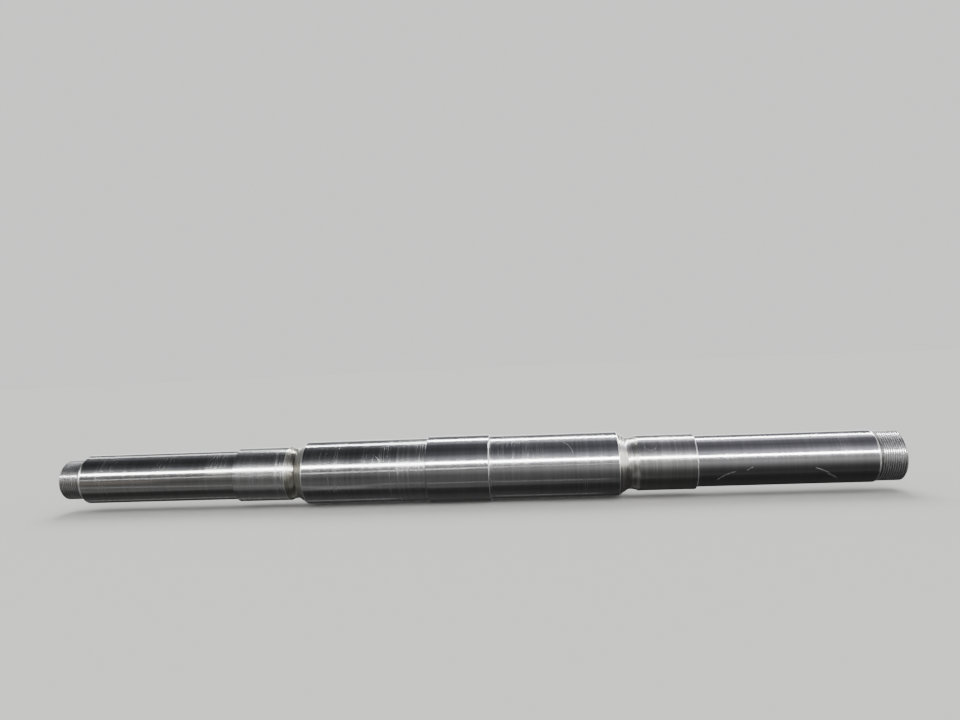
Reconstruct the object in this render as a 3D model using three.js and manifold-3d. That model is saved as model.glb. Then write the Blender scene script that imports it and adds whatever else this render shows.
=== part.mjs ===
// A wind turbine's main shaft, turned from one solid steel forging, with a thread at each end.
// Millimetres, +Z up. The shaft lies along X, and the middle of its length is the origin.
import * as THREE from 'three';
import { mergeVertices } from 'three/addons/utils/BufferGeometryUtils.js';
import Module from 'manifold-3d';

const wasm = await Module();
wasm.setup();

// Diameters of the turned lengths, the same on both sides of the middle
const JOURNAL = 345;
const SEAT = 375;
const BODY = 435;
const COLLAR = 455;
const NECK = 350;

// Lengths of the turned lengths, from the left end to the right end
const JOURNAL_LEFT_LENGTH = 1140;
const SEAT_LEFT_LENGTH = 369;
const BODY_LEFT_LENGTH = 861;
const COLLAR_LENGTH = 430;
const BODY_RIGHT_LENGTH = 865;
const SEAT_RIGHT_LENGTH = 383;
const JOURNAL_RIGHT_LENGTH = 1156;

// The two threaded ends, each with a turned relief between the thread and its journal
const LEFT_END = { thread: 280, threadLength: 136, relief: 256, reliefLength: 25 };
const RIGHT_END = { thread: 330, threadLength: 149, relief: 312, reliefLength: 18 };
const PITCH = 14;
const GROOVE_DEPTH = 7;
const GROOVE_MOUTH = 8.5;
const GROOVE_FLOOR = 3;
const GROOVE_CLEARANCE = 2; // how far the groove's section stands out of the thread's crests
const RUN_OUT = 1.5 * PITCH; // how far the groove runs past the threaded length in all

// The necks: a steep side below the body and a gentle side below the seat, each a cone into a radius
const STEEP = { angle: THREE.MathUtils.degToRad(33), radius: 50 };
const GENTLE = { angle: THREE.MathUtils.degToRad(28), radius: 105 };

// Edges and corners
const END_CHAMFER = 5;
const JOURNAL_CHAMFER = 8;
const STEP_CHAMFER = 4;
const FILLET = 5;

// The lathe centre holes in both end faces: a cone of 60 degrees into a hole drilled for a lifting eye
const CENTRE_MOUTH = 45;
const CENTRE_PILOT = 31;
const CENTRE_DEPTH = 70;
const PILOT_TIP = 9;
const CENTRE_HALF_ANGLE = THREE.MathUtils.degToRad(30);

// Fineness of the turned faces
const SIDES = 48;
const THREAD_SIDES = 24;
const NECK_STEPS = 3;
const FILLET_STEPS = 2;
const MERGE_DISTANCE = 0.001;

const steel = new THREE.MeshStandardMaterial({ color: 0xa3a2a0, roughness: 0.28, metalness: 1 });

// A point of a turned outline: its place along the shaft and its distance from the axis.
function at(x, radius) {
  return new THREE.Vector2(radius, x);
}

// Points on an arc of the outline, from one angle to another, both included.
function arc(centreX, centreRadius, radius, from, to, steps) {
  const points = [];
  for (let i = 0; i <= steps; i++) {
    const angle = THREE.MathUtils.lerp(from, to, i / steps);
    points.push(at(centreX + radius * Math.cos(angle), centreRadius + radius * Math.sin(angle)));
  }
  return points;
}

// The length along the shaft that one side of a neck takes, down to its narrowest place.
function neckSideLength(side, drop) {
  const arcDrop = side.radius * (1 - Math.cos(side.angle));
  return side.radius * Math.sin(side.angle) + (drop - arcDrop) / Math.tan(side.angle);
}

// A neck between two turned lengths, from its left edge to its right edge.
function neck(x, leftRadius, left, rightRadius, right) {
  const low = NECK / 2;
  const lowX = x + neckSideLength(left, leftRadius - low);
  const endX = lowX + neckSideLength(right, rightRadius - low);
  const down = -Math.PI / 2;
  const leftArc = arc(lowX, low + left.radius, left.radius, down - left.angle, down, NECK_STEPS);
  const rightArc = arc(lowX, low + right.radius, right.radius, down, down + right.angle, NECK_STEPS);
  const points = [at(x, leftRadius), ...leftArc, ...rightArc.slice(1), at(endX, rightRadius)];
  return { points, end: endX };
}

// A shoulder that rises to the right: a fillet at its root and a chamfer at its edge.
function stepUp(x, lowRadius, highRadius, chamfer) {
  const root = arc(x - FILLET, lowRadius + FILLET, FILLET, -Math.PI / 2, 0, FILLET_STEPS);
  return [...root, at(x, highRadius - chamfer), at(x + chamfer, highRadius)];
}

// A shoulder that falls to the right.
function stepDown(x, highRadius, lowRadius, chamfer) {
  const root = arc(x + FILLET, lowRadius + FILLET, FILLET, Math.PI, Math.PI * 1.5, FILLET_STEPS);
  return [at(x - chamfer, highRadius), at(x, highRadius - chamfer), ...root];
}

const NECK_LENGTH =
  neckSideLength(STEEP, (BODY - NECK) / 2) + neckSideLength(GENTLE, (SEAT - NECK) / 2);

// Places along the shaft, counted from the left end face
const reliefLeft = LEFT_END.threadLength;
const journalLeft = reliefLeft + LEFT_END.reliefLength;
const seatLeft = journalLeft + JOURNAL_LEFT_LENGTH;
const neckLeft = seatLeft + SEAT_LEFT_LENGTH;
const bodyLeft = neckLeft + NECK_LENGTH;
const collar = bodyLeft + BODY_LEFT_LENGTH;
const bodyRight = collar + COLLAR_LENGTH;
const neckRight = bodyRight + BODY_RIGHT_LENGTH;
const seatRight = neckRight + NECK_LENGTH;
const journalRight = seatRight + SEAT_RIGHT_LENGTH;
const reliefRight = journalRight + JOURNAL_RIGHT_LENGTH;
const threadRight = reliefRight + RIGHT_END.reliefLength;
const length = threadRight + RIGHT_END.threadLength;

// A closed solid turned from an outline. It lies along X with a flat side down.
function turned(points, sides) {
  const geometry = new THREE.LatheGeometry(points, sides, Math.PI / sides);
  geometry.rotateZ(-Math.PI / 2);
  return solid(geometry);
}

function solid(geometry) {
  geometry.deleteAttribute('normal');
  geometry.deleteAttribute('uv');
  const merged = mergeVertices(geometry, MERGE_DISTANCE);
  const vertProperties = merged.attributes.position.array;
  const triVerts = new Uint32Array(merged.index.array);
  return new wasm.Manifold(new wasm.Mesh({ numProp: 3, vertProperties, triVerts }));
}

// The turned lengths between the two threads.
function turnedLengths() {
  const overlap = FILLET;
  const leftNeck = neck(neckLeft, SEAT / 2, GENTLE, BODY / 2, STEEP);
  const rightNeck = neck(neckRight, BODY / 2, STEEP, SEAT / 2, GENTLE);
  return turned([
    at(reliefLeft - overlap, 0),
    at(reliefLeft - overlap, LEFT_END.relief / 2),
    ...stepUp(journalLeft, LEFT_END.relief / 2, JOURNAL / 2, JOURNAL_CHAMFER),
    ...stepUp(seatLeft, JOURNAL / 2, SEAT / 2, STEP_CHAMFER),
    ...leftNeck.points,
    ...stepUp(collar, BODY / 2, COLLAR / 2, STEP_CHAMFER),
    ...stepDown(bodyRight, COLLAR / 2, BODY / 2, STEP_CHAMFER),
    ...rightNeck.points,
    ...stepDown(journalRight, SEAT / 2, JOURNAL / 2, STEP_CHAMFER),
    at(reliefRight - JOURNAL_CHAMFER, JOURNAL / 2),
    at(reliefRight, JOURNAL / 2 - JOURNAL_CHAMFER),
    at(reliefRight, RIGHT_END.relief / 2),
    at(threadRight + overlap, RIGHT_END.relief / 2),
    at(threadRight + overlap, 0),
  ], SIDES);
}

// The plain cylinder of a threaded end, with its centre hole, at the left end of the shaft.
function threadBlank(end) {
  const coneDepth = (CENTRE_MOUTH - CENTRE_PILOT) / 2 / Math.tan(CENTRE_HALF_ANGLE);
  return turned([
    at(CENTRE_DEPTH + PILOT_TIP, 0),
    at(CENTRE_DEPTH, CENTRE_PILOT / 2),
    at(coneDepth, CENTRE_PILOT / 2),
    at(0, CENTRE_MOUTH / 2),
    at(0, end.thread / 2 - END_CHAMFER),
    at(END_CHAMFER, end.thread / 2),
    at(end.threadLength, end.thread / 2),
    at(end.threadLength, 0),
  ], THREAD_SIDES);
}

// A helix about X whose sections stay in planes through the axis.
class ThreadHelix extends THREE.Curve {
  constructor(radius, pitch, turns) {
    super();
    this.radius = radius;
    this.pitch = pitch;
    this.turns = turns;
  }

  getPoint(t, target = new THREE.Vector3()) {
    const angle = this.angle(t);
    const y = this.radius * Math.cos(angle);
    const z = this.radius * Math.sin(angle);
    return target.set(this.pitch * this.turns * t, y, z);
  }

  // The speed along a helix is even, so even steps are already evenly spaced.
  getSpacedPoints(steps) {
    return this.getPoints(steps);
  }

  // Half a step on, so that the corners of the groove meet the corners of the turned blank.
  angle(t) {
    return 2 * Math.PI * (this.turns * t + 0.5 / THREAD_SIDES);
  }

  computeFrenetFrames(steps) {
    const tangents = [];
    const normals = [];
    const binormals = [];
    for (let i = 0; i <= steps; i++) {
      const angle = this.angle(i / steps);
      tangents.push(new THREE.Vector3(0, -Math.sin(angle), Math.cos(angle)));
      normals.push(new THREE.Vector3(1, 0, 0));
      binormals.push(new THREE.Vector3(0, Math.cos(angle), Math.sin(angle)));
    }
    return { tangents, normals, binormals };
  }
}

// The helical groove of a thread, open past the end face and ending in the relief.
function threadGroove(end) {
  const turns = Math.floor((end.threadLength + RUN_OUT) / PITCH);
  const slope = (GROOVE_MOUTH - GROOVE_FLOOR) / 2 / GROOVE_DEPTH;
  const mouth = GROOVE_MOUTH / 2 + slope * GROOVE_CLEARANCE;
  const section = new THREE.Shape([
    new THREE.Vector2(-GROOVE_FLOOR / 2, -GROOVE_DEPTH),
    new THREE.Vector2(GROOVE_FLOOR / 2, -GROOVE_DEPTH),
    new THREE.Vector2(mouth, GROOVE_CLEARANCE),
    new THREE.Vector2(-mouth, GROOVE_CLEARANCE),
  ]);
  const geometry = new THREE.ExtrudeGeometry(section, {
    steps: turns * THREAD_SIDES,
    extrudePath: new ThreadHelix(end.thread / 2, PITCH, turns),
  });
  geometry.translate(-PITCH / 2, 0, 0);
  return solid(geometry);
}

// A threaded end, made at the left end of the shaft; the right end is the same, turned half round.
function threadedEnd(end) {
  return threadBlank(end).subtract(threadGroove(end));
}

function shaft() {
  const left = threadedEnd(LEFT_END);
  const right = threadedEnd(RIGHT_END).rotate([0, 0, 180]).translate([length, 0, 0]);
  const whole = turnedLengths().add(left).add(right);
  return whole.translate([-length / 2, 0, 0]);
}

function meshOf(name, manifold, material) {
  const { vertProperties, triVerts } = manifold.getMesh();
  const geometry = new THREE.BufferGeometry();
  geometry.setAttribute('position', new THREE.BufferAttribute(vertProperties, 3));
  geometry.setIndex(new THREE.BufferAttribute(triVerts, 1));
  geometry.computeVertexNormals();
  const mesh = new THREE.Mesh(geometry, material);
  mesh.name = name;
  return mesh;
}

const group = new THREE.Group();
group.add(meshOf('main_shaft', shaft(), steel));

export default group;
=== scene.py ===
"""A wind turbine's main shaft, finely turned and lying on a pale studio floor.

Metres, +Z up, with the shaft along X and the middle of its length at the origin.
"""

import math

import bpy
from mathutils import Euler, Matrix, Vector


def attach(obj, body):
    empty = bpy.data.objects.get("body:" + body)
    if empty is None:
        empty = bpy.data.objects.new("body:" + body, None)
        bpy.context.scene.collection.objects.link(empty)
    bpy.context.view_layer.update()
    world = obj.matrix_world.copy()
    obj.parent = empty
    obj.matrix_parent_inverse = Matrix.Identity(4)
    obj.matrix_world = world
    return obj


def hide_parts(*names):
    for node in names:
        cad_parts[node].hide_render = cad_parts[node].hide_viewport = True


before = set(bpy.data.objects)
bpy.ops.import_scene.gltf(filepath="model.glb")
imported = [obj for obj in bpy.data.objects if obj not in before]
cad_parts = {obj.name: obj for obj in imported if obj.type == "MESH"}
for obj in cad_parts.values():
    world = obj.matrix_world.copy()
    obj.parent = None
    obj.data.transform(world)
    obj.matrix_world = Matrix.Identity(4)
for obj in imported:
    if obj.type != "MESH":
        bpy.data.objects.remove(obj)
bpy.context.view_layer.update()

# Radii of the turned lengths
JOURNAL = 0.1725
SEAT = 0.1875
BODY = 0.2175
COLLAR = 0.2275
NECK = 0.175

# The two threaded ends, each with a relief between the thread and its journal
THREAD_LEFT = 0.140
THREAD_RIGHT = 0.165
THREAD_LEFT_LENGTH = 0.136
THREAD_RIGHT_LENGTH = 0.149
RELIEF_LEFT = 0.128
RELIEF_RIGHT = 0.156
RELIEF_SLOPE = 0.003
PITCH = 0.014
GROOVE_DEPTH = 0.007
GROOVE_MOUTH = 0.0085
GROOVE_FLOOR = 0.003
GROOVE_CLEARANCE = 0.002
RUN_OUT = 1.5 * PITCH

# The two kinds of side of a neck: the angle of its cone and the radius that the cone runs into
STEEP = (math.radians(33), 0.050)
GENTLE = (math.radians(28), 0.105)

# Edges and corners
END_CHAMFER = 0.005
JOURNAL_CHAMFER = 0.008
STEP_CHAMFER = 0.004
FILLET = 0.005
NECK_RIM = 0.003

# The lathe centre holes
CENTRE_MOUTH = 0.0225
CENTRE_PILOT = 0.0155
CENTRE_DEPTH = 0.070
PILOT_TIP = 0.009
CENTRE_HALF_ANGLE = math.radians(30)

# Fineness of the turned faces
SIDES = 192
THREAD_SIDES = 96
NECK_STEPS = 8
FILLET_STEPS = 6
SMOOTH_ANGLE = math.radians(20)

# Points that keep the smooth shading of the corners out of the long straight lengths
SUPPORT = 0.002
SUPPORTED_LENGTH = 5 * SUPPORT

# The plate that shrinks to the first point of the outline, and how close points are merged
FIRST_PLATE = 0.001
SPIN_MERGE = 0.00002
COIL_MERGE = 0.00001


def neck_side(side, drop):
    """The length along the shaft of one side of a neck, down to its narrowest place."""
    angle, radius = side
    arc_drop = radius * (1 - math.cos(angle))
    return radius * math.sin(angle) + (drop - arc_drop) / math.tan(angle)


NECK_LENGTH = neck_side(STEEP, BODY - NECK) + neck_side(GENTLE, SEAT - NECK)

# The places along the shaft, from left to right, each with the length between it and the one before it
LENGTHS = [
    ("relief_left", THREAD_LEFT_LENGTH),
    ("journal_left", 0.025),
    ("seat_left", 1.140),
    ("neck_left", 0.369),
    ("body_left", NECK_LENGTH),
    ("collar", 0.861),
    ("body_right", 0.430),
    ("neck_right", 0.865),
    ("seat_right", NECK_LENGTH),
    ("journal_right", 0.383),
    ("relief_right", 1.156),
    ("thread_right", 0.018),
    ("end", THREAD_RIGHT_LENGTH),
]


def places():
    """Where each length begins, with the middle of the shaft at zero."""
    x = -sum(length for _, length in LENGTHS) / 2
    found = {"start": x}
    for name, length in LENGTHS:
        x += length
        found[name] = x
    return found


PLACE = places()


def deselect():
    bpy.ops.object.select_all(action="DESELECT")


def make_active(obj):
    deselect()
    obj.select_set(True)
    bpy.context.view_layer.objects.active = obj


def edit(obj, kind):
    """Opens a piece in edit mode, to pick vertices, edges or faces."""
    make_active(obj)
    bpy.ops.object.mode_set(mode="EDIT")
    bpy.ops.mesh.select_mode(type=kind)


def select(obj, parts, test):
    """Selects the vertices or faces of the piece in edit mode that a test picks by place or normal."""
    bpy.ops.mesh.select_all(action="DESELECT")
    bpy.ops.object.mode_set(mode="OBJECT")
    for part in getattr(obj.data, parts):
        part.select = test(part)
    bpy.ops.object.mode_set(mode="EDIT")


def arc(centre_x, centre_r, radius, start, stop, steps):
    """Points of an arc in the outline, both ends included, as (place along the shaft, radius)."""
    points = []
    for i in range(steps + 1):
        angle = start + (stop - start) * i / steps
        points.append((centre_x + radius * math.cos(angle), centre_r + radius * math.sin(angle)))
    return points


def fillet(x, low):
    """The rounded root of a step that rises to the right at x."""
    return arc(x - FILLET, low + FILLET, FILLET, -math.pi / 2, 0, FILLET_STEPS)


def step_up(x, low, high, chamfer):
    """A step that rises to the right, with a fillet at its root and a chamfer at its edge."""
    return fillet(x, low) + [(x, high - chamfer), (x + chamfer, high)]


def step_down(x, high, low, chamfer):
    """A step that falls to the right, the mirror of one that rises."""
    return [(2 * x - px, pr) for px, pr in reversed(step_up(x, low, high, chamfer))]


def neck_rim(x, radius, angle, inwards):
    """The narrow broken edge where a turned length falls into a neck."""
    return [
        (x - inwards * NECK_RIM, radius),
        (x + inwards * NECK_RIM * math.cos(angle), radius - NECK_RIM * math.sin(angle)),
    ]


def neck_outline(x, left_r, left_side, right_r, right_side):
    """A turned neck that starts at x: a cone from each side into a radius of its own."""
    low = x + neck_side(left_side, left_r - NECK)
    end = low + neck_side(right_side, right_r - NECK)
    left_angle, left_radius = left_side
    right_angle, right_radius = right_side
    down = -math.pi / 2
    left = arc(low, NECK + left_radius, left_radius, down - left_angle, down, NECK_STEPS)
    right = arc(low, NECK + right_radius, right_radius, down, down + right_angle, NECK_STEPS)
    left_rim = neck_rim(x, left_r, left_angle, 1)
    right_rim = neck_rim(end, right_r, right_angle, -1)[::-1]
    return left_rim + left + right[1:] + right_rim


def centre_hole(x, inwards):
    """The outline of a centre hole, from the axis out to the end face."""
    cone_depth = (CENTRE_MOUTH - CENTRE_PILOT) / math.tan(CENTRE_HALF_ANGLE)
    return [
        (x + inwards * (CENTRE_DEPTH + PILOT_TIP), 0.0),
        (x + inwards * CENTRE_DEPTH, CENTRE_PILOT),
        (x + inwards * cone_depth, CENTRE_PILOT),
        (x, CENTRE_MOUTH),
    ]


def supported(points):
    """Adds a point close to both ends of each long straight length, so that the smooth shading of the
    rounded corners doesn't reach into it."""
    result = [points[0]]
    for (x0, r0), (x1, r1) in zip(points, points[1:]):
        length = math.hypot(x1 - x0, r1 - r0)
        if length > SUPPORTED_LENGTH:
            for share in (SUPPORT / length, 1 - SUPPORT / length):
                result.append((x0 + share * (x1 - x0), r0 + share * (r1 - r0)))
        result.append((x1, r1))
    return result


def shaft_outline():
    """Half the shaft's outline, from the bottom of one centre hole to the bottom of the other."""
    p = PLACE
    points = centre_hole(p["start"], 1)
    points += [
        (p["start"], THREAD_LEFT - END_CHAMFER),
        (p["start"] + END_CHAMFER, THREAD_LEFT),
        (p["relief_left"], THREAD_LEFT),
        (p["relief_left"] + RELIEF_SLOPE, RELIEF_LEFT),
    ]
    points += step_up(p["journal_left"], RELIEF_LEFT, JOURNAL, JOURNAL_CHAMFER)
    points += step_up(p["seat_left"], JOURNAL, SEAT, STEP_CHAMFER)
    points += neck_outline(p["neck_left"], SEAT, GENTLE, BODY, STEEP)
    points += step_up(p["collar"], BODY, COLLAR, STEP_CHAMFER)
    points += step_down(p["body_right"], COLLAR, BODY, STEP_CHAMFER)
    points += neck_outline(p["neck_right"], BODY, STEEP, SEAT, GENTLE)
    points += step_down(p["journal_right"], SEAT, JOURNAL, STEP_CHAMFER)
    points += [
        (p["relief_right"] - JOURNAL_CHAMFER, JOURNAL),
        (p["relief_right"], JOURNAL - JOURNAL_CHAMFER),
        (p["relief_right"], RELIEF_RIGHT),
        (p["thread_right"] - RELIEF_SLOPE, RELIEF_RIGHT),
        (p["thread_right"], THREAD_RIGHT),
        (p["end"] - END_CHAMFER, THREAD_RIGHT),
        (p["end"], THREAD_RIGHT - END_CHAMFER),
    ]
    points += centre_hole(p["end"], -1)[::-1]
    return supported(points)


def spun(name, points):
    """Draws an outline by extruding a point from place to place, and spins it round the shaft's axis."""
    deselect()
    bpy.ops.mesh.primitive_plane_add(size=FIRST_PLATE, location=(points[0][0], 0, points[0][1]))
    obj = bpy.context.object
    obj.name = name
    obj.data.name = name
    bpy.ops.object.transform_apply(location=True, rotation=True, scale=True)
    bpy.ops.object.mode_set(mode="EDIT")
    bpy.ops.mesh.select_all(action="SELECT")
    bpy.ops.mesh.merge(type="CENTER")
    for (x0, r0), (x1, r1) in zip(points, points[1:]):
        bpy.ops.mesh.extrude_vertices_move(TRANSFORM_OT_translate={"value": (x1 - x0, 0, r1 - r0)})
    bpy.ops.mesh.select_all(action="SELECT")
    bpy.ops.mesh.spin(steps=SIDES, angle=2 * math.pi, center=(0, 0, 0), axis=(1, 0, 0))
    bpy.ops.mesh.select_all(action="SELECT")
    bpy.ops.mesh.remove_doubles(threshold=SPIN_MERGE)
    bpy.ops.mesh.normals_make_consistent(inside=False)
    bpy.ops.object.mode_set(mode="OBJECT")
    return obj


def thread_tool(name, radius, start, length, turning):
    """The coil that cuts a thread's groove: a plate in the groove's section, screwed along the axis."""
    turns = int((length + RUN_OUT) / PITCH)
    slope = (GROOVE_MOUTH - GROOVE_FLOOR) / 2 / GROOVE_DEPTH
    mouth = GROOVE_MOUTH + 2 * slope * GROOVE_CLEARANCE
    floor_radius = radius - GROOVE_DEPTH
    top_radius = radius + GROOVE_CLEARANCE
    middle = (floor_radius + top_radius) / 2
    deselect()
    bpy.ops.mesh.primitive_plane_add(size=1, location=(start, 0, middle), rotation=(math.pi / 2, 0, 0))
    obj = bpy.context.object
    obj.name = name
    obj.scale = (GROOVE_FLOOR, top_radius - floor_radius, 1)
    bpy.ops.object.transform_apply(location=True, rotation=True, scale=True)
    edit(obj, "VERT")
    select(obj, "vertices", lambda vert: vert.co.z > middle)
    bpy.ops.transform.resize(value=(mouth / GROOVE_FLOOR, 1, 1))
    bpy.ops.mesh.select_all(action="SELECT")
    bpy.ops.mesh.delete(type="ONLY_FACE")
    bpy.ops.object.mode_set(mode="OBJECT")
    screw = obj.modifiers.new("coil", "SCREW")
    screw.axis = "X"
    screw.angle = 2 * math.pi
    screw.screw_offset = turning * PITCH
    screw.iterations = turns
    screw.steps = THREAD_SIDES
    screw.render_steps = THREAD_SIDES
    screw.use_merge_vertices = True
    screw.merge_threshold = COIL_MERGE
    make_active(obj)
    bpy.ops.object.modifier_apply(modifier=screw.name)
    edit(obj, "EDGE")
    bpy.ops.mesh.select_all(action="DESELECT")
    bpy.ops.mesh.select_non_manifold(extend=False, use_wire=False, use_boundary=True,
                                     use_multi_face=False, use_non_contiguous=False, use_verts=False)
    bpy.ops.mesh.fill_holes(sides=0)
    bpy.ops.mesh.select_all(action="SELECT")
    bpy.ops.mesh.normals_make_consistent(inside=False)
    bpy.ops.object.mode_set(mode="OBJECT")
    return obj


def cut(obj, tool):
    """Takes a tool's shape out of a piece and clears the tool away."""
    boolean = obj.modifiers.new("groove", "BOOLEAN")
    boolean.operation = "DIFFERENCE"
    boolean.solver = "MANIFOLD"
    boolean.object = tool
    make_active(obj)
    bpy.ops.object.modifier_apply(modifier=boolean.name)
    bpy.data.objects.remove(tool)


left_start = PLACE["start"] - PITCH / 2
right_start = PLACE["end"] + PITCH / 2
shaft = spun("turned_shaft", shaft_outline())
cut(shaft, thread_tool("left_thread_tool", THREAD_LEFT, left_start, THREAD_LEFT_LENGTH, 1))
cut(shaft, thread_tool("right_thread_tool", THREAD_RIGHT, right_start, THREAD_RIGHT_LENGTH, -1))

make_active(shaft)
bpy.ops.object.shade_smooth_by_angle(angle=SMOOTH_ANGLE, keep_sharp_edges=True)


# The colour sockets of a Mix node
MIX_FIRST = 6
MIX_SECOND = 7
MIX_RESULT = 2

# Colours of the marks on the steel, and how dark a film of oil makes the steel's own dark tone
SCUFF_COLOUR = (0.66, 0.65, 0.64)
# A near white for worn edges: partly wear, partly a painted highlight of their glint
WORN_EDGE_HIGHLIGHT_COLOUR = (0.95, 0.95, 0.94)
SCRATCH_COLOUR = (0.80, 0.80, 0.79)
# A near black: painted shade in the roots of the threads
THREAD_ROOT_SHADE_COLOUR = (0.10, 0.10, 0.10)
OIL_SHADE = 0.62

# How strongly each mark shows in the steel's tone, and how much roughness it adds
SCUFF_TONE = 0.3
SCUFF_ROUGHNESS = 0.24
OIL_TONE = 0.18
OIL_ROUGHNESS = 0.02
WORN_EDGE_ROUGHNESS = 0.22
SCRATCH_TONE = 0.8
SCRATCH_ROUGHNESS = 0.35
THREAD_ROOT_ROUGHNESS = 0.2
FACE_OIL_TONE = 0.3
FACE_OIL_ROUGHNESS = 0.05

# The turned rings: how much the fine ones, the wide ones and the bands count, how far their mix goes
# either way from its middle for the darkest and the lightest tone, and how much the roughness swings
FINE_SHARE = 0.45
WIDE_SHARE = 0.35
BAND_SHARE = 0.2
RING_RANGE = 0.16
ROUGHNESS_SWING = 0.2

# Where a pattern's shift takes it across the shaft, in Y and Z, for each unit along the shaft
SHIFT_Y = 0.7
SHIFT_Z = 1.3

# Hairlines on the skin: the size of one along the shaft and round it, and how strong they are
HAIR_SIZE = (1 / 340, 1 / 5)
HAIR_STRENGTH = 0.62

# How far a matte length takes to fade in and out, and the depths below the crest where the painted shade
# of a thread's root begins and is full
MATTE_FADE = 0.03
ROOT_START = 0.001
ROOT_FULL = 0.004

# The faced ends: waves per metre of their fine and wide rings and of those in their roughness
FACE_FINE_RINGS = 300
FACE_WIDE_RINGS = 40
FACE_ROUGH_RINGS = 60
FACE_FINE_SHARE = 0.7
FACE_WIDE_SHARE = 0.3

# The lines that the tool leaves on the faced ends, and the height of these and of the ripples
TOOL_FEED = 0.0018
TOOL_LINE_STRENGTH = 0.1
TOOL_LINE_HEIGHT = 0.0001
RIPPLE_HEIGHT = 0.001


def add_node(tree, kind, **settings):
    node = tree.nodes.new(kind)
    for key, value in settings.items():
        setattr(node, key, value)
    return node


class Finish:
    """A steel finish in the making. Its clouds and rings read Object coordinates. Its hairlines and
    scratches read the shaft's skin laid out flat, which is made of the same coordinates: metres along
    the shaft, and metres round it from straight ahead."""

    def __init__(self, name, radius):
        self.material = bpy.data.materials.new(name)
        self.material.use_nodes = True
        self.tree = self.material.node_tree
        self.shader = self.tree.nodes["Principled BSDF"]
        self.shader.inputs["Metallic"].default_value = 1.0
        self.colour = None
        self.rough = None
        self.place = self.add("ShaderNodeTexCoord").outputs["Object"]
        parts = self.add("ShaderNodeSeparateXYZ")
        self.join(self.place, parts.inputs[0])
        self.along = parts.outputs["X"]
        turn = self.math("ARCTAN2", parts.outputs["Z"], self.times(parts.outputs["Y"], -1.0))
        flat = self.add("ShaderNodeCombineXYZ")
        self.join(self.along, flat.inputs["X"])
        self.join(self.times(turn, radius), flat.inputs["Y"])
        self.flat = flat.outputs["Vector"]
        across = self.add("ShaderNodeCombineXYZ")
        self.join(parts.outputs["Y"], across.inputs["Y"])
        self.join(parts.outputs["Z"], across.inputs["Z"])
        self.reach = self.distance(across.outputs["Vector"])

    def add(self, kind, **settings):
        return add_node(self.tree, kind, **settings)

    def join(self, source, target):
        if isinstance(source, (int, float)):
            target.default_value = source
        else:
            self.tree.links.new(source, target)

    def math(self, operation, first, second=0.0):
        node = self.add("ShaderNodeMath", operation=operation)
        self.join(first, node.inputs[0])
        self.join(second, node.inputs[1])
        return node.outputs[0]

    def times(self, first, second):
        return self.math("MULTIPLY", first, second)

    def spread(self, value, low, high, to_low=0.0, to_high=1.0):
        """Stretches a value from one range to another and holds it there."""
        node = self.add("ShaderNodeMapRange")
        self.join(value, node.inputs["Value"])
        node.inputs["From Min"].default_value = low
        node.inputs["From Max"].default_value = high
        node.inputs["To Min"].default_value = to_low
        node.inputs["To Max"].default_value = to_high
        return node.outputs["Result"]

    def fade(self, value, low, high, strength=1.0):
        """Falls from a strength to nothing as a value goes from low to high."""
        return self.spread(value, low, high, strength, 0.0)

    def mapped(self, source, centre, size, turn=0.0):
        """Coordinates in a frame of their own: a centre, the size that counts as one, and a turn."""
        node = self.add("ShaderNodeMapping", vector_type="TEXTURE")
        node.inputs["Location"].default_value = centre
        node.inputs["Rotation"].default_value = (0.0, 0.0, turn)
        node.inputs["Scale"].default_value = size
        self.join(source, node.inputs["Vector"])
        return node.outputs["Vector"]

    def on_skin(self, centre, size=(1.0, 1.0), turn=0.0):
        """The same on the flat skin, where a centre and a size have two numbers."""
        return self.mapped(self.flat, (*centre, 0.0), (*size, 1.0), turn)

    def noise(self, vector, detail, distortion=0.0):
        node = self.add("ShaderNodeTexNoise")
        node.inputs["Scale"].default_value = 1.0
        node.inputs["Detail"].default_value = detail
        node.inputs["Distortion"].default_value = distortion
        self.join(vector, node.inputs["Vector"])
        return node.outputs["Fac"]

    def pattern(self, along, around, detail, shift, distortion=0.0):
        """Cloudy variation, with that many waves per metre along the shaft and around it. The shift
        moves it off to a part of the noise that no other pattern uses."""
        size = (1 / along, 1 / around, 1 / around)
        centre = (shift / along, SHIFT_Y * shift / around, SHIFT_Z * shift / around)
        return self.noise(self.mapped(self.place, centre, size), detail, distortion)

    def rings(self, waves, shift):
        """Rings round the axis, with that many waves per metre outwards from it."""
        node = self.add("ShaderNodeTexNoise", noise_dimensions="1D")
        node.inputs["Scale"].default_value = 1.0
        node.inputs["Detail"].default_value = 1.0
        self.join(self.math("ADD", self.times(self.reach, waves), shift), node.inputs["W"])
        return node.outputs["Fac"]

    def distance(self, vector):
        node = self.add("ShaderNodeVectorMath", operation="LENGTH")
        self.join(vector, node.inputs[0])
        return node.outputs["Value"]

    def hairlines(self, centre, reach, lean):
        """A patch of fine lines that run round the shaft and lean a little."""
        patch = self.fade(self.distance(self.on_skin(centre, reach)), 0.45, 1.0)
        lines = self.noise(self.on_skin(centre, HAIR_SIZE, lean), detail=1.0)
        return self.times(patch, self.spread(lines, 0.46, 0.7, 0.0, HAIR_STRENGTH))

    def scratch(self, centre, radius, start, stop, width, strength):
        """One scratch, as an arc on the flat skin from one angle to another, in degrees."""
        middle = math.radians((start + stop) / 2)
        reach = radius * math.radians(abs(stop - start)) / 2
        spot = (centre[0] + radius * math.cos(middle), centre[1] + radius * math.sin(middle))
        off = self.math("SUBTRACT", self.distance(self.on_skin(centre)), radius)
        line = self.fade(self.math("ABSOLUTE", off), 0.25 * width, 0.5 * width, strength)
        part = self.fade(self.distance(self.on_skin(spot)), 0.7 * reach, reach)
        return self.times(line, part)

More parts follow.
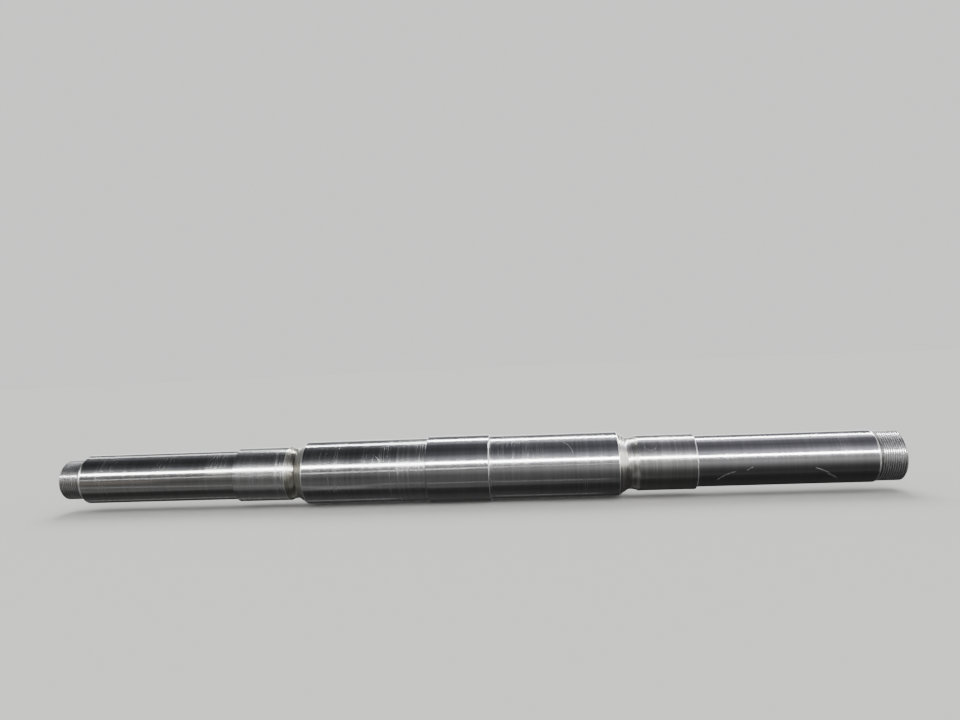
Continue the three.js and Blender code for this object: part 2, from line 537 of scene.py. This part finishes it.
    def blend(self, share, first, second):
        """Mixes two colours by a share."""
        node = self.add("ShaderNodeMix", data_type="RGBA")
        self.join(share, node.inputs["Factor"])
        for index, colour in ((MIX_FIRST, first), (MIX_SECOND, second)):
            if isinstance(colour, tuple):
                node.inputs[index].default_value = (*colour, 1.0)
            else:
                self.join(colour, node.inputs[index])
        return node.outputs[MIX_RESULT]

    def tint(self, share, colour):
        """Covers the colour so far with another, by a share."""
        self.colour = self.blend(share, self.colour, colour)

    def roughen(self, share, amount):
        """Adds an amount of roughness, by a share."""
        self.rough = self.math("ADD", self.rough, self.times(share, amount))

    def bump(self, height, strength, distance):
        node = self.add("ShaderNodeBump")
        node.inputs["Strength"].default_value = strength
        node.inputs["Distance"].default_value = distance
        self.join(height, node.inputs["Height"])
        self.join(node.outputs["Normal"], self.shader.inputs["Normal"])

    def done(self):
        self.join(self.colour, self.shader.inputs["Base Color"])
        self.join(self.rough, self.shader.inputs["Roughness"])
        return self.material


def oiled(dark):
    """The dark tone of a steel under a film of oil."""
    return tuple(OIL_SHADE * c for c in dark)


def roughness_range(roughness):
    return (1 - ROUGHNESS_SWING) * roughness, (1 + ROUGHNESS_SWING) * roughness


def add_scuffs(f, scuffs, hairs, shift):
    """Short worn marks from the tool, in patches, and patches of hairlines."""
    worn = f.spread(f.pattern(along=420, around=4.5, detail=2, shift=shift + 17), 0.52, 0.70)
    clouds = f.pattern(along=8, around=3.2, detail=3, shift=shift + 23)
    patches = f.spread(clouds, 0.62 - 0.2 * scuffs, 0.8 - 0.2 * scuffs)
    marks = f.times(worn, patches)
    for hair in hairs:
        marks = f.math("MAXIMUM", marks, f.hairlines(*hair))
    f.tint(f.times(marks, SCUFF_TONE), SCUFF_COLOUR)
    f.roughen(marks, SCUFF_ROUGHNESS)


def add_oil(f, dark, shift):
    """A thin cloudy film of oil."""
    film = f.pattern(along=5, around=5, detail=4, shift=shift + 11, distortion=0.6)
    f.tint(f.times(f.spread(film, 0.5, 0.75), OIL_TONE), oiled(dark))
    f.roughen(f.spread(film, 0.45, 0.7), OIL_ROUGHNESS)


def add_matte_length(f, start, stop, amount):
    """A duller length between two places along the shaft."""
    rise = f.spread(f.along, start, start + MATTE_FADE)
    fall = f.fade(f.along, stop - MATTE_FADE, stop)
    f.roughen(f.times(rise, fall), amount)


def add_comb(f, fine, wide, amount):
    """Fine rings that are duller than those between them, like the teeth of a comb."""
    teeth = f.times(f.spread(fine, 0.38, 0.72), f.spread(wide, 0.3, 0.7))
    f.roughen(teeth, amount)


def add_worn_edge_highlight(f, place, reach, shift):
    """A worn edge at a place along the shaft, a little chipped, its steel painted near white: wear, and
    a painted highlight of the edge's glint.
    """
    off = f.math("ABSOLUTE", f.math("SUBTRACT", f.along, place))
    chips = f.spread(f.pattern(along=30, around=12, detail=2, shift=shift + 51), 0.4, 0.56, 0.2, 1.0)
    worn = f.times(f.fade(off, 0.4 * reach, reach), chips)
    f.tint(worn, WORN_EDGE_HIGHLIGHT_COLOUR)
    f.roughen(worn, WORN_EDGE_ROUGHNESS)


def add_scratches(f, scratches, shift):
    """Single bright scratches, uneven along their length."""
    cuts = f.scratch(*scratches[0])
    for scratch in scratches[1:]:
        cuts = f.math("MAXIMUM", cuts, f.scratch(*scratch))
    grain = f.pattern(along=160, around=160, detail=2, shift=shift + 41)
    cuts = f.times(cuts, f.spread(grain, 0.3, 0.6, 0.4, 1.0))
    f.tint(f.times(cuts, SCRATCH_TONE), SCRATCH_COLOUR)
    f.roughen(cuts, SCRATCH_ROUGHNESS)


def add_thread_root_shade(f, crest):
    """Painted shade and duller steel towards the root of a thread, whose crests have a given radius: its
    colour darkens with depth.
    """
    root = f.spread(f.math("SUBTRACT", crest, f.reach), ROOT_START, ROOT_FULL)
    f.tint(root, THREAD_ROOT_SHADE_COLOUR)
    f.roughen(root, THREAD_ROOT_ROUGHNESS)


def turned_steel(name, radius, dark, light, roughness, shift, scuffs, rings=1.0, comb=0.0, ripple=0.05,
                 hairs=(), scratches=(), matte=(), edges=(), crest=0.0):
    """Turned steel: fine and wide rings, scuffs, a thin cloudy film of oil, and the marks given, among
    them edges painted bright as a highlight and thread roots painted dark as shade.
    """
    f = Finish(name, radius)
    fine = f.pattern(along=330, around=1.6, detail=3, shift=shift)
    wide = f.pattern(along=58, around=0.8, detail=3, shift=shift + 3)
    bands = f.pattern(along=9, around=0.4, detail=2, shift=shift + 7)
    mix = f.math("ADD", f.times(fine, FINE_SHARE), f.times(wide, WIDE_SHARE))
    mix = f.math("ADD", mix, f.times(bands, BAND_SHARE))
    swing = RING_RANGE / rings
    f.colour = f.blend(f.spread(mix, 0.5 - swing, 0.5 + swing), dark, light)
    f.rough = f.spread(wide, 0.35, 0.65, *roughness_range(roughness))
    add_scuffs(f, scuffs, hairs, shift)
    add_oil(f, dark, shift)
    for start, stop, amount in matte:
        add_matte_length(f, start, stop, amount)
    if comb:
        add_comb(f, fine, wide, comb)
    # Worn edges painted near white: wear and a painted highlight
    for place, reach in edges:
        add_worn_edge_highlight(f, place, reach, shift)
    if scratches:
        add_scratches(f, scratches, shift)
    # The roots of the threads get painted shade and more roughness
    if crest:
        add_thread_root_shade(f, crest)
    f.bump(f.pattern(along=3, around=9, detail=2, shift=shift + 31), ripple, RIPPLE_HEIGHT)
    return f.done()


def faced_steel(name, dark, light, roughness, shift):
    """A faced end: the tool's fine even lines and wider rings round the axis, under a film of oil."""
    f = Finish(name, JOURNAL)
    fine = f.times(f.rings(FACE_FINE_RINGS, shift), FACE_FINE_SHARE)
    wide = f.times(f.rings(FACE_WIDE_RINGS, shift), FACE_WIDE_SHARE)
    f.colour = f.blend(f.spread(f.math("ADD", fine, wide), 0.3, 0.7), dark, light)
    swinging = f.rings(FACE_ROUGH_RINGS, shift + 5)
    f.rough = f.spread(swinging, 0.3, 0.7, *roughness_range(roughness))
    clouds = f.pattern(along=5, around=5, detail=3, shift=shift + 11, distortion=0.6)
    film = f.spread(clouds, 0.45, 0.75)
    f.tint(f.times(film, FACE_OIL_TONE), oiled(dark))
    f.roughen(film, FACE_OIL_ROUGHNESS)
    lines = f.math("SINE", f.times(f.reach, 2 * math.pi / TOOL_FEED))
    f.bump(lines, TOOL_LINE_STRENGTH, TOOL_LINE_HEIGHT)
    return f.done()


# How far the hairlines lean
LEAN = math.radians(-9.6)

# The finishes. A hair is a patch of hairlines: its centre and its reach on the skin, and its lean. A
# scratch is an arc on the skin: its centre, radius, first and last angle, width and strength. A matte
# length has its two ends and the roughness it adds. An edge has its place and how far its wear and its
# painted highlight reach.
FINISHES = [
    turned_steel(
        "left_journal_steel", JOURNAL,
        dark=(0.36, 0.355, 0.35), light=(0.45, 0.445, 0.44), roughness=0.12,
        shift=1, scuffs=0.5, comb=0.03,
        hairs=[
            ((-2.50, 0.13), (0.13, 0.09), LEAN),
            ((-2.10, 0.13), (0.15, 0.085), LEAN),
            ((-1.72, 0.125), (0.13, 0.11), LEAN),
        ],
        matte=[(-1.80, -1.59, 0.05)],
        edges=[(PLACE["journal_left"] + JOURNAL_CHAMFER, 0.012)],
    ),
    turned_steel(
        "left_seat_steel", SEAT,
        dark=(0.42, 0.42, 0.415), light=(0.50, 0.50, 0.495), roughness=0.21,
        shift=20, scuffs=0.2, comb=0.03,
    ),
    turned_steel(
        "left_neck_steel", NECK,
        dark=(0.32, 0.31, 0.272), light=(0.48, 0.465, 0.41), roughness=0.21,
        shift=40, scuffs=0.2, rings=1.6,
        matte=[(-1.28, -1.155, 0.035)],
    ),
    turned_steel(
        "left_body_steel", BODY,
        dark=(0.36, 0.36, 0.36), light=(0.45, 0.45, 0.45), roughness=0.12,
        shift=60, scuffs=0.45, comb=0.08,
        hairs=[
            ((-0.92, 0.13), (0.18, 0.10), 0.5 * LEAN),
            ((-0.62, 0.11), (0.11, 0.08), 0.3 * LEAN),
        ],
        scratches=[
            ((-1.150, -0.428), 0.8, 39.6, 45.2, 0.004, 0.5),
            ((0.185, -0.289), 0.8, 146.4, 152, 0.003, 0.25),
        ],
        matte=[(-0.4667, -0.2, 0.05)],
    ),
    turned_steel(
        "collar_steel", COLLAR,
        dark=(0.37, 0.37, 0.37), light=(0.45, 0.45, 0.45), roughness=0.12,
        shift=80, scuffs=0.1, rings=0.7, ripple=0.03,
    ),
    turned_steel(
        "right_body_steel", BODY,
        dark=(0.37, 0.37, 0.37), light=(0.46, 0.46, 0.46), roughness=0.13,
        shift=100, scuffs=0.4, comb=0.05, ripple=0.03,
        hairs=[((0.49, 0.13), (0.13, 0.09), 0.5 * LEAN)],
        scratches=[((0.619, 0.086), 0.14, 8, 60, 0.005, 0.6)],
    ),
    turned_steel(
        "right_neck_steel", NECK,
        dark=(0.40, 0.39, 0.365), light=(0.56, 0.55, 0.52), roughness=0.24,
        shift=120, scuffs=0.2, rings=2.2,
    ),
    turned_steel(
        "right_seat_steel", SEAT,
        dark=(0.38, 0.38, 0.37), light=(0.47, 0.47, 0.46), roughness=0.17,
        shift=140, scuffs=0.2, rings=1.6, ripple=0.02,
        scratches=[((1.272, 0.152), 0.042, -175, 10, 0.005, 0.3)],
        edges=[(PLACE["journal_right"], 0.010)],
    ),
    turned_steel(
        "right_journal_steel", JOURNAL,
        dark=(0.37, 0.365, 0.375), light=(0.45, 0.445, 0.455), roughness=0.12,
        shift=160, scuffs=0.2, rings=0.8, ripple=0.015,
        scratches=[
            ((1.846, -0.25), 0.201, 97, 142, 0.009, 1.0),
            ((1.959, -0.136), 0.118, 107, 133, 0.008, 0.8),
            ((2.155, -0.512), 0.498, 59, 72, 0.010, 1.0),
            ((2.155, -0.512), 0.490, 50, 62, 0.014, 0.9),
        ],
        edges=[(PLACE["relief_right"] - JOURNAL_CHAMFER, 0.009)],
    ),
    turned_steel(
        "left_thread_steel", THREAD_LEFT,
        dark=(0.44, 0.44, 0.44), light=(0.52, 0.52, 0.52), roughness=0.20,
        shift=180, scuffs=0.1, rings=0.5, ripple=0.0, crest=THREAD_LEFT,
    ),
    turned_steel(
        "right_thread_steel", THREAD_RIGHT,
        dark=(0.48, 0.475, 0.49), light=(0.56, 0.555, 0.57), roughness=0.20,
        shift=190, scuffs=0.1, rings=0.5, ripple=0.0, crest=THREAD_RIGHT,
    ),
    # The cut and broken edges: steel painted nearly white, a painted highlight of their glint
    turned_steel(
        "cut_edge_highlight_steel", SEAT,
        dark=(0.72, 0.72, 0.71), light=(0.97, 0.97, 0.96), roughness=0.36,
        shift=200, scuffs=0.2,
    ),
    faced_steel(
        "end_face_steel",
        dark=(0.50, 0.50, 0.495), light=(0.62, 0.62, 0.61), roughness=0.34,
        shift=220,
    ),
]
shaft.data.materials.clear()
for steel in FINISHES:
    shaft.data.materials.append(steel)
SLOTS = [steel.name for steel in FINISHES]

# Which finish each turned length has, from one place to another
TURNED_LENGTHS = [
    ("left_thread_steel", "start", "journal_left"),
    ("left_journal_steel", "journal_left", "seat_left"),
    ("left_seat_steel", "seat_left", "neck_left"),
    ("left_neck_steel", "neck_left", "body_left"),
    ("left_body_steel", "body_left", "collar"),
    ("collar_steel", "collar", "body_right"),
    ("right_body_steel", "body_right", "neck_right"),
    ("right_neck_steel", "neck_right", "seat_right"),
    ("right_seat_steel", "seat_right", "journal_right"),
    ("right_journal_steel", "journal_right", "relief_right"),
    ("right_thread_steel", "relief_right", "end"),
]

# How squarely faces look along the shaft: the end faces and the broken neck edges at least, and the cut
# edges within a range
END_FACING = 0.9
NECK_EDGE_FACING = 0.15
CUT_EDGE_FACING = (0.6, 0.8)

# The cut edges at steps and ends, painted bright as a highlight: a place, and whether they lie to its
# left and to its right
CUT_EDGES = [
    ("start", 0, 1),
    ("journal_left", 1, 1),
    ("body_right", 1, 0),
    ("journal_right", 1, 0),
    ("relief_right", 1, 0),
    ("end", 1, 0),
]

# The broken edges of the necks, painted bright as a highlight, each with the radius of the turned length
# that it ends
NECK_EDGES = [
    ("neck_left", SEAT),
    ("body_left", BODY),
    ("neck_right", BODY),
]


def give_finish(obj, finish, test):
    """Gives a finish to the faces that a test picks by their place and normal."""
    edit(obj, "FACE")
    select(obj, "polygons", lambda face: test(face.center, face.normal))
    obj.active_material_index = SLOTS.index(finish)
    bpy.ops.object.material_slot_assign()
    bpy.ops.object.mode_set(mode="OBJECT")


def between(start, end):
    return lambda centre, normal: start < centre.x < end


def on_end_face(centre, normal):
    return abs(normal.x) > END_FACING


def on_cut_edge(centre, normal):
    if not CUT_EDGE_FACING[0] < abs(normal.x) < CUT_EDGE_FACING[1]:
        return False
    for edge, left, right in CUT_EDGES:
        start = PLACE[edge] - left * JOURNAL_CHAMFER
        stop = PLACE[edge] + right * JOURNAL_CHAMFER
        if start < centre.x < stop:
            return True
    return False


def on_neck_edge(centre, normal):
    for edge, radius in NECK_EDGES:
        beside = abs(centre.x - PLACE[edge]) < 0.9 * NECK_RIM
        outside = math.hypot(centre.y, centre.z) > radius - NECK_RIM
        if beside and outside and abs(normal.x) > NECK_EDGE_FACING:
            return True
    return False


for finish, start, end in TURNED_LENGTHS:
    give_finish(shaft, finish, between(PLACE[start], PLACE[end]))
give_finish(shaft, "end_face_steel", on_end_face)
# The cut and broken edges get the steel painted bright as a highlight
give_finish(shaft, "cut_edge_highlight_steel", on_cut_edge)
give_finish(shaft, "cut_edge_highlight_steel", on_neck_edge)

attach(shaft, "root")
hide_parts("main_shaft")


# The floor, a wide plain sheet with the shaft lying on it
STUDIO_SIDES = 96
FLOOR_Z = -COLLAR
FLOOR_RADIUS = 80.0
FLOOR_COLOUR = (0.7, 0.7, 0.69, 1)
FLOOR_ROUGHNESS = 0.9
deselect()
bpy.ops.mesh.primitive_circle_add(
    vertices=STUDIO_SIDES, radius=FLOOR_RADIUS, fill_type="NGON", location=(0, 0, FLOOR_Z)
)
floor = bpy.context.object
floor.name = "studio_floor"
bpy.ops.object.transform_apply(location=True, rotation=True, scale=True)
paint = bpy.data.materials.new("pale_floor")
paint.use_nodes = True
floor_shader = paint.node_tree.nodes["Principled BSDF"]
floor_shader.inputs["Base Color"].default_value = FLOOR_COLOUR
floor_shader.inputs["Roughness"].default_value = FLOOR_ROUGHNESS
floor_shader.inputs["Specular IOR Level"].default_value = 0.0
floor.data.materials.append(paint)
floor.visible_glossy = False

# The tent round the shaft, seen only in the steel. Its light changes with the angle about the shaft's
# axis, counted from straight ahead of the shaft, up over it and down behind. Each row holds an angle in
# degrees, the light there at the left end and at the right end, and how cool it is. Behind the shaft it
# grows down to the level of the axis, where the last two rows make a sharp edge.
TENT_RADIUS = 9.0
TENT_LENGTH = 30.0
TENT_STRENGTH = 4.0
TENT_LIGHT = [
    (-180, 0.10, 0.10, 0),
    (-140, 0.05, 0.035, 0),
    (-115, 0.12, 0.05, 0),
    (-97, 0.10, 0.045, 0),
    (-80, 0.055, 0.04, 0),
    (-63, 0.06, 0.05, 0),
    (-57, 0.21, 0.085, 0),
    (-40, 0.19, 0.07, 0),
    (-27, 0.19, 0.12, 0),
    (-15, 0.13, 0.30, 0),
    (0, 0.28, 0.66, 0),
    (12, 0.20, 0.55, 0),
    (22, 0.45, 1.5, 0.5),
    (38, 0.50, 1.1, 1),
    (56, 0.12, 0.36, 1),
    (75, 0.055, 0.19, 1),
    (98, 0.085, 0.32, 1),
    (113, 0.30, 2.0, 1),
    (135, 0.40, 0.50, 1),
    (150, 0.12, 0.12, 1),
    (180, 4.0, 4.0, 0),
    (180, 0.10, 0.10, 0),
]

# The tent's two ends: their columns, their cool tones, and the places where one turns into the other
TENT_LEFT = 1
TENT_RIGHT = 2
COOL_LEFT = (0.95, 1.0, 1.08)
COOL_RIGHT = (1.0, 0.985, 1.12)
TENT_CHANGE = (-3.0, 4.0)


def tent_ramp(tree, turn, column, cool_tone):
    """The light of the tent at one end, as a ramp over the angle."""
    ramp = add_node(tree, "ShaderNodeValToRGB")
    stops = ramp.color_ramp.elements
    stops.remove(stops[-1])
    for i, row in enumerate(TENT_LIGHT):
        degrees, cool = row[0], row[-1]
        place = (degrees + 180) / 360
        stop = stops[0] if i == 0 else stops.new(place)
        stop.position = place
        light = row[column] / TENT_STRENGTH
        tones = [light * (1 + cool * (c - 1)) for c in cool_tone]
        stop.color = (*tones, 1)
    tree.links.new(turn, ramp.inputs["Fac"])
    return ramp.outputs["Color"]


def tent_fabric():
    """The glowing fabric of the tent, with the light of its left end turning into that of its right."""
    material = bpy.data.materials.new("tent_fabric")
    material.use_nodes = True
    tree = material.node_tree
    tree.nodes.clear()
    place = add_node(tree, "ShaderNodeTexCoord")
    parts = add_node(tree, "ShaderNodeSeparateXYZ")
    ahead = add_node(tree, "ShaderNodeMath", operation="MULTIPLY")
    ahead.inputs[1].default_value = -1.0
    angle = add_node(tree, "ShaderNodeMath", operation="ARCTAN2")
    turn = add_node(tree, "ShaderNodeMapRange")
    turn.inputs["From Min"].default_value = -math.pi
    turn.inputs["From Max"].default_value = math.pi
    share = add_node(tree, "ShaderNodeMapRange")
    share.inputs["From Min"].default_value = TENT_CHANGE[0]
    share.inputs["From Max"].default_value = TENT_CHANGE[1]
    mix = add_node(tree, "ShaderNodeMix", data_type="RGBA")
    glow = add_node(tree, "ShaderNodeEmission")
    glow.inputs["Strength"].default_value = TENT_STRENGTH
    output = add_node(tree, "ShaderNodeOutputMaterial")
    tree.links.new(place.outputs["Object"], parts.inputs["Vector"])
    tree.links.new(parts.outputs["Y"], ahead.inputs[0])
    tree.links.new(parts.outputs["Z"], angle.inputs[0])
    tree.links.new(ahead.outputs[0], angle.inputs[1])
    tree.links.new(angle.outputs[0], turn.inputs["Value"])
    tree.links.new(parts.outputs["X"], share.inputs["Value"])
    tree.links.new(share.outputs["Result"], mix.inputs["Factor"])
    left_light = tent_ramp(tree, turn.outputs["Result"], TENT_LEFT, COOL_LEFT)
    right_light = tent_ramp(tree, turn.outputs["Result"], TENT_RIGHT, COOL_RIGHT)
    tree.links.new(left_light, mix.inputs[MIX_FIRST])
    tree.links.new(right_light, mix.inputs[MIX_SECOND])
    tree.links.new(mix.outputs[MIX_RESULT], glow.inputs["Color"])
    tree.links.new(glow.outputs["Emission"], output.inputs["Surface"])
    return material


deselect()
bpy.ops.mesh.primitive_cylinder_add(
    vertices=STUDIO_SIDES, radius=TENT_RADIUS, depth=TENT_LENGTH, rotation=(0, math.pi / 2, 0)
)
tent = bpy.context.object
tent.name = "light_tent"
bpy.ops.object.transform_apply(location=True, rotation=True, scale=True)
tent.data.materials.append(tent_fabric())
tent.visible_camera = False
tent.visible_diffuse = False
tent.visible_transmission = False
tent.visible_volume_scatter = False
tent.visible_shadow = False

# The lamps that are seen only in the steel. The radiance of one times its area and this number gives its
# power in watts.
POWER_OF_RADIANCE = 4
STRIP_DISTANCE = 6.0
WARM_WHITE = (1.0, 0.97, 0.88)


def add_lamp(name, kind):
    data = bpy.data.lights.new(name, kind)
    lamp = bpy.data.objects.new(name, data)
    bpy.context.scene.collection.objects.link(lamp)
    return lamp


def steel_lamp(name, length, width, height, radiance, tone):
    """A soft flat lamp that is seen only in the steel. Its height is that of its middle: below the floor
    it shines through the floor."""
    lamp = add_lamp(name, "AREA")
    lamp.data.shape = "RECTANGLE"
    lamp.data.size = length
    lamp.data.size_y = width
    lamp.data.energy = radiance * POWER_OF_RADIANCE * length * width
    lamp.data.color = tone
    lamp.data.use_shadow = height >= FLOOR_Z
    lamp.visible_camera = False
    lamp.visible_diffuse = False
    return lamp


def strip_light(name, angles, width, ends, radiance, tone=(1, 1, 1)):
    """A long strip of light beside the shaft. The angles are those of its left and right ends, counted
    as the tent's are, so that it may lie a little askew, and the ends are their places along X."""
    corners = []
    for x, degrees in zip(ends, angles):
        angle = math.radians(degrees)
        ahead = STRIP_DISTANCE * math.cos(angle)
        up = STRIP_DISTANCE * math.sin(angle)
        corners.append(Vector((x, -ahead, up)))
    left, right = corners
    middle = (left + right) / 2
    along = (right - left).normalized()
    outwards = Vector((0, middle.y, middle.z))
    away = (outwards - along * along.dot(outwards)).normalized()
    across = away.cross(along)
    lamp = steel_lamp(name, (right - left).length, width, middle.z, radiance, tone)
    lamp.matrix_world = Matrix.LocRotScale(middle, Matrix((along, across, away)).transposed(), None)


strip_light("front_strip", (29.2, 26.4), 0.5, (-7.5, 7.5), 40.0)
strip_light("front_line_left", (3.0, 4.8), 0.10, (-7.5, -3.6), 3.5)
strip_light("front_line", (5.6, 8.8), 0.10, (-3.6, -0.2), 6.0)
strip_light("front_line_end", (8.8, 8.8), 0.10, (-0.2, 2.2), 2.0)
strip_light("rear_strip_left", (131.0, 129.5), 0.55, (-7.5, -3.7), 4.0)
strip_light("rear_strip", (121.6, 121.0), 0.30, (-3.5, -1.25), 38.0)
strip_light("rear_strip_right", (123.0, 121.4), 0.50, (-1.2, 7.5), 38.0)
strip_light("low_line_left", (-29.0, -45.0), 0.6, (-7.5, -2.9), 0.16)
strip_light("low_line_neck", (-49.0, -50.0), 1.2, (-2.9, -2.1), 0.16)
strip_light("low_line", (-41.0, -40.0), 0.25, (-2.1, -0.2), 0.25)
strip_light("low_line_right", (-44.0, -46.0), 0.30, (-0.2, 1.5), 0.25)
strip_light("low_rear_line", (-118.0, -118.0), 0.35, (-7.5, -1.7), 0.40)
strip_light("low_rear_line_right", (-118.0, -118.0), 0.35, (-0.2, 1.4), 0.3)
strip_light("warm_strip", (-12.0, -12.0), 1.5, (-9.0, -5.5), 0.11, (1.0, 0.78, 0.6))


def end_panel(name, yaw, distance, low, high, width, radiance, tone=WARM_WHITE):
    """A soft panel beyond one end of the shaft. The yaw counts from the front to the right."""
    angle = math.radians(yaw)
    place = Vector((math.sin(angle) * distance, -math.cos(angle) * distance, (low + high) / 2))
    inwards = Vector((-place.x, -place.y, 0))
    lamp = steel_lamp(name, width, high - low, place.z, radiance, tone)
    lamp.location = place
    lamp.rotation_euler = inwards.to_track_quat("-Z", "Y").to_euler()


end_panel("right_panel", 74, 8.0, -0.2, 5.0, 4.5, 1.6)
end_panel("right_panel_top", 74, 7.8, 2.6, 3.4, 4.5, 2.5)
end_panel("left_panel", -84, 8.0, 0.5, 4.0, 3.5, 0.12, (1.0, 0.96, 0.84))
end_panel("left_panel_low", -93, 7.8, 0.2, 1.6, 2.5, 0.8)
end_panel("left_panel_below", -95, 7.8, -3.6, 0.1, 3.5, 0.1)

# One wide soft light from behind and above, for the floor
SUN_STRENGTH = 2.0
SUN_WIDTH = math.radians(40)
SUN_ELEVATION = math.radians(50)
SUN_ASIDE = 0.1
sun = add_lamp("floor_light", "SUN")
sun.data.energy = SUN_STRENGTH
sun.data.angle = SUN_WIDTH
sun_direction = Vector((SUN_ASIDE, -math.cos(SUN_ELEVATION), -math.sin(SUN_ELEVATION)))
sun.rotation_euler = sun_direction.to_track_quat("-Z", "Y").to_euler()
sun.visible_glossy = False

# The room, plain and pale
ROOM_COLOUR = (1.0, 1.0, 0.99, 1)
world = bpy.data.worlds.new("studio")
bpy.context.scene.world = world
world.use_nodes = True
world.node_tree.nodes["Background"].inputs["Color"].default_value = ROOM_COLOUR

# The camera at the photograph's angle: a 26 mm lens, level, a little rolled
IMAGE_WIDTH = 960
FOCAL_PIXELS = 693
SENSOR_WIDTH = 36
CAMERA_PLACE = (0.5495, -4.8209, 0.7501)
CAMERA_ROLL = math.radians(-2.477)
VIEW_ASIDE = -0.0827
camera_data = bpy.data.cameras.new("camera")
camera_data.sensor_width = SENSOR_WIDTH
camera_data.lens = FOCAL_PIXELS * SENSOR_WIDTH / IMAGE_WIDTH
camera = bpy.data.objects.new("camera", camera_data)
bpy.context.scene.collection.objects.link(camera)
camera.location = CAMERA_PLACE
forward = Vector((VIEW_ASIDE, math.sqrt(1 - VIEW_ASIDE ** 2), 0))
look = forward.to_track_quat("-Z", "Y")
roll = Euler((0, 0, CAMERA_ROLL)).to_quaternion()
camera.rotation_euler = (look @ roll).to_euler()
bpy.context.scene.camera = camera
